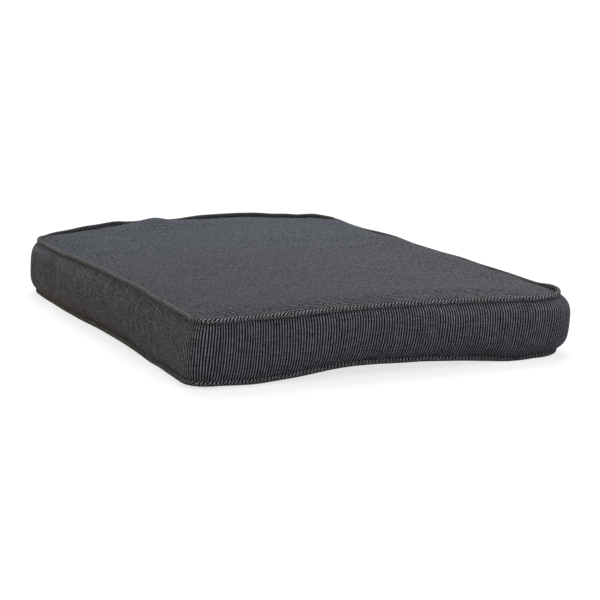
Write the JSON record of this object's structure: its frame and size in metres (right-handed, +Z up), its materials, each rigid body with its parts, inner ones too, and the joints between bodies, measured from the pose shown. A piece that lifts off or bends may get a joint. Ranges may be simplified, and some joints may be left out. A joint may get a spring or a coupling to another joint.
{
  "type": "kneeling pad",
  "caption": "Boxed and piped foam kneeling pad in pinstriped cloth, with a tapered plan and a zipped cover that opens along the back.",
  "frame": {"origin": "on the floor below the middle of the pad's plan", "axes": "+X to the right seen from the front, +Y from the wide front edge to the narrow zipped back, +Z up"},
  "size_m": [0.3744, 0.4471, 0.0647],
  "materials": {
    "foam": "matte",
    "wadding": "matte",
    "stripe_cloth": "matte",
    "piping_cloth": "matte",
    "cord": "matte",
    "zip_tape": "matte",
    "zip_coil": "satin",
    "zip_metal": "satin"
  },
  "bodies": {
    "pad": {"foam_core": "foam", "wadding_top": "wadding", "wadding_bottom": "wadding", "top_panel": "stripe_cloth", "bottom_panel": "stripe_cloth", "side_boxing": "stripe_cloth", "back_boxing_upper": "stripe_cloth", "back_boxing_lower": "stripe_cloth", "top_piping_cover": "piping_cloth", "bottom_piping_cover": "piping_cloth", "top_piping_cord": "cord", "bottom_piping_cord": "cord", "zip_tape_upper": "zip_tape", "zip_tape_lower": "zip_tape", "zip_coil_upper": "zip_coil", "zip_coil_lower": "zip_coil", "zip_bottom_stop": "zip_metal", "zip_top_stops": "zip_metal"},
    "slider": {"zip_slider": "zip_metal"},
    "pull_tab": {"zip_pull_tab": "zip_metal"}
  },
  "joints": [
    {"name": "zip_slide", "type": "slide", "parent": "pad", "child": "slider", "axis": [-1, 0, 0], "range_m": [0, 0.2274], "deforming": ["zip_coil_upper", "zip_coil_lower", "zip_tape_upper", "zip_tape_lower"]},
    {"name": "tab_swing", "type": "hinge", "parent": "slider", "child": "pull_tab", "pos_m": [0.1137, 0.22435, 0.0272], "axis": [0, 0, -1], "range_deg": [0, 175]}
  ]
}
